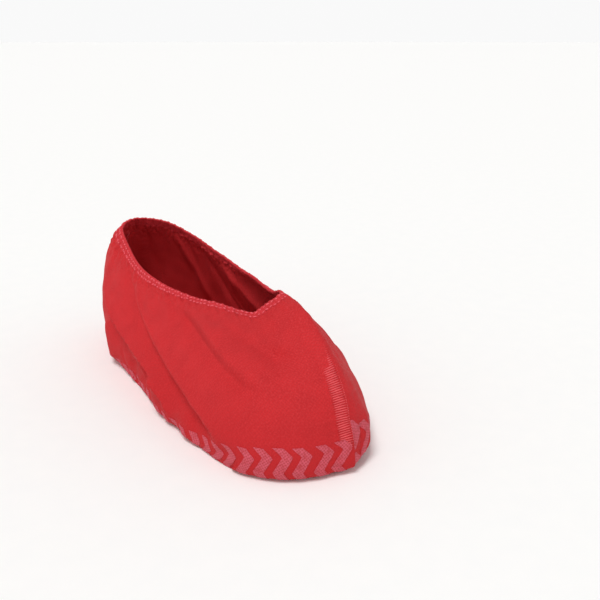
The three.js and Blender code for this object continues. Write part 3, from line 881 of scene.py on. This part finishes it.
tread = {
    "pitch": 13.75, "duty": 0.53, "halfWave": 11, "swing": 6.8, "topSlant": 1.02, "firstBar": -2,
    "toeSwing": 0.4, "toeReach": 16,    # the zigzag swings wider beside the toe seam
    "height": 0.3, "sunk": 0.2, "columns": 5, "wallStep": 1.25, "wallFoot": 0.6,
    "soleHalfWaves": 4.5, "soleEnd": 0.965, "soleSteps": 34,
    "soleLength": 54,     # from the sole's edge to its middle line on the flat cloth
    "endGaps": (0.9, 0.6), "narrowest": 0.5, "fewestSteps": 3,
    # band: how high the bars reach along the sole's edge. tip: how far below its top a bar's first point is.
    # start: place of bar 0. shifts: how far the stretched cloth carries single bars along.
    "outer": {
        "band": [(0, 29), (50, 29.5), (65, 27), (80, 24.5), (97, 20), (118, 16), (150, 14), (230, 14),
                 (300, 15), (360, 16), (420, 16)],
        "tip": 5.8, "start": -0.6, "shifts": {1: -0.3, 2: 1.6, 3: 0.7, 4: 0.4, 5: -0.8},
    },
    "inner": {
        "band": [(0, 38), (7, 35), (14, 29), (30, 25), (50, 21), (80, 17), (120, 14), (230, 14), (300, 15),
                 (360, 16), (420, 16)],
        "tip": -2, "start": -5.5, "shifts": {},
    },
}


def zigzagWave(x):  # triangle wave: 1 at even numbers, -1 at odd ones
    return 2 * np.abs(np.mod(x, 2) - 1) - 1


def barEdges(side, number, pitch):
    # A zigzag bar runs from the top of the band down the wall and across the sole to its middle line. Gives
    # the heights of its rows, and where each row begins and ends along the sole's edge.
    values = tread[side.name]
    tip, wide = values["tip"], pitch * tread["duty"]
    lead = values["start"] + number * pitch + values["shifts"].get(number, 0)
    top = np.interp(lead + wide / 2, *np.array(values["band"]).T)
    ups = np.concatenate([np.arange(top, tread["wallFoot"], -tread["wallStep"]), [0.0],
                          -np.linspace(0, tread["soleEnd"], tread["soleSteps"])[1:]])
    fall = np.where(ups >= 0, top - ups, top - ups * tread["soleHalfWaves"] * tread["halfWave"])
    wave = zigzagWave((fall - tip) / tread["halfWave"])
    swing = tread["swing"] * (1 + tread["toeSwing"] * bell(lead / tread["toeReach"]))
    low = lead + np.where(fall < tip, tread["topSlant"] * (tip - fall), swing * (1 - wave) / 2)
    high = low + wide
    if side.name == "inner" and number == 0:    # this one fills the corner beside the toe seam
        low = low * 0
    first, last = tread["endGaps"][0], side.length - tread["endGaps"][1]
    return ups, np.clip(low, first, last), np.clip(high, first, last)


def barPatch(side, ups, low, high, start):  # faces, points and flat places of one slab of print
    along = low[:, None] + (high - low)[:, None] * np.linspace(0, 1, tread["columns"])
    up = np.repeat(ups[:, None], tread["columns"], 1)
    skin = side.place(along, up)
    out = gridNormals(skin) * -side.facing
    welt = np.interp(np.minimum(along, side.length - along), *weltShape.T, right=0)
    welt = np.where((up > 0) & (side.name == "outer"), np.maximum(welt, 0), 0)[..., None]
    upper = skin + out * (tread["height"] + welt)
    lower = skin - out * tread["sunk"]
    upper[..., 2] = np.maximum(upper[..., 2], 0)
    flat = np.stack([along, np.where(up >= 0, up, up * tread["soleLength"])], -1)
    if side.facing > 0:
        upper, lower, flat = upper[:, ::-1], lower[:, ::-1], flat[:, ::-1]
    return *shellOf(upper, lower, start), np.tile(flat.reshape(-1, 2), (2, 1))


def treadBars():
    faces, points, flats = [], [], []
    start = 0
    count = round(outerSide.length / tread["pitch"])
    for side in (outerSide, innerSide):
        for number in range(tread["firstBar"], count + 2):
            ups, low, high = barEdges(side, number, side.length / count)
            kept = np.concatenate([[0], high - low > tread["narrowest"], [0]]).astype(int)
            limits = np.flatnonzero(np.diff(kept))
            for first, last in zip(limits[::2], limits[1::2]):
                if last - first < tread["fewestSteps"]:
                    continue
                rows = slice(first, last)
                patch = barPatch(side, ups[rows], low[rows], high[rows], start)
                for pile, made in zip((faces, points, flats), patch):
                    pile.append(made)
                start += len(patch[1])
    piece = meshObject("tread_print", np.concatenate(points), np.concatenate(faces), rubberPrint,
                       np.concatenate(flats), sharp=40)
    print(f"tread: {len(faces)} bars, {start} points")
    return piece


treadPiece = treadBars()


def claim(piece, slot, *nodes):
    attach(piece, "root")
    if nodes:
        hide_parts(*nodes)


claim(outerCloth, "nonwoven_cloth", "lateral_panel")
claim(innerCloth, "nonwoven_cloth", "medial_panel")
claim(hemPiece, "gathered_hem", "elastic_hem")
claim(hemThreads, "seam_thread")
for (welt, ribs, loops), node in ((toeWelt, "toe_seam"), (heelWelt, "heel_seam")):
    claim(welt, "nonwoven_cloth", node)
    claim(ribs, "seam_thread")
    claim(loops, "seam_thread")
claim(treadPiece, "tread_print")
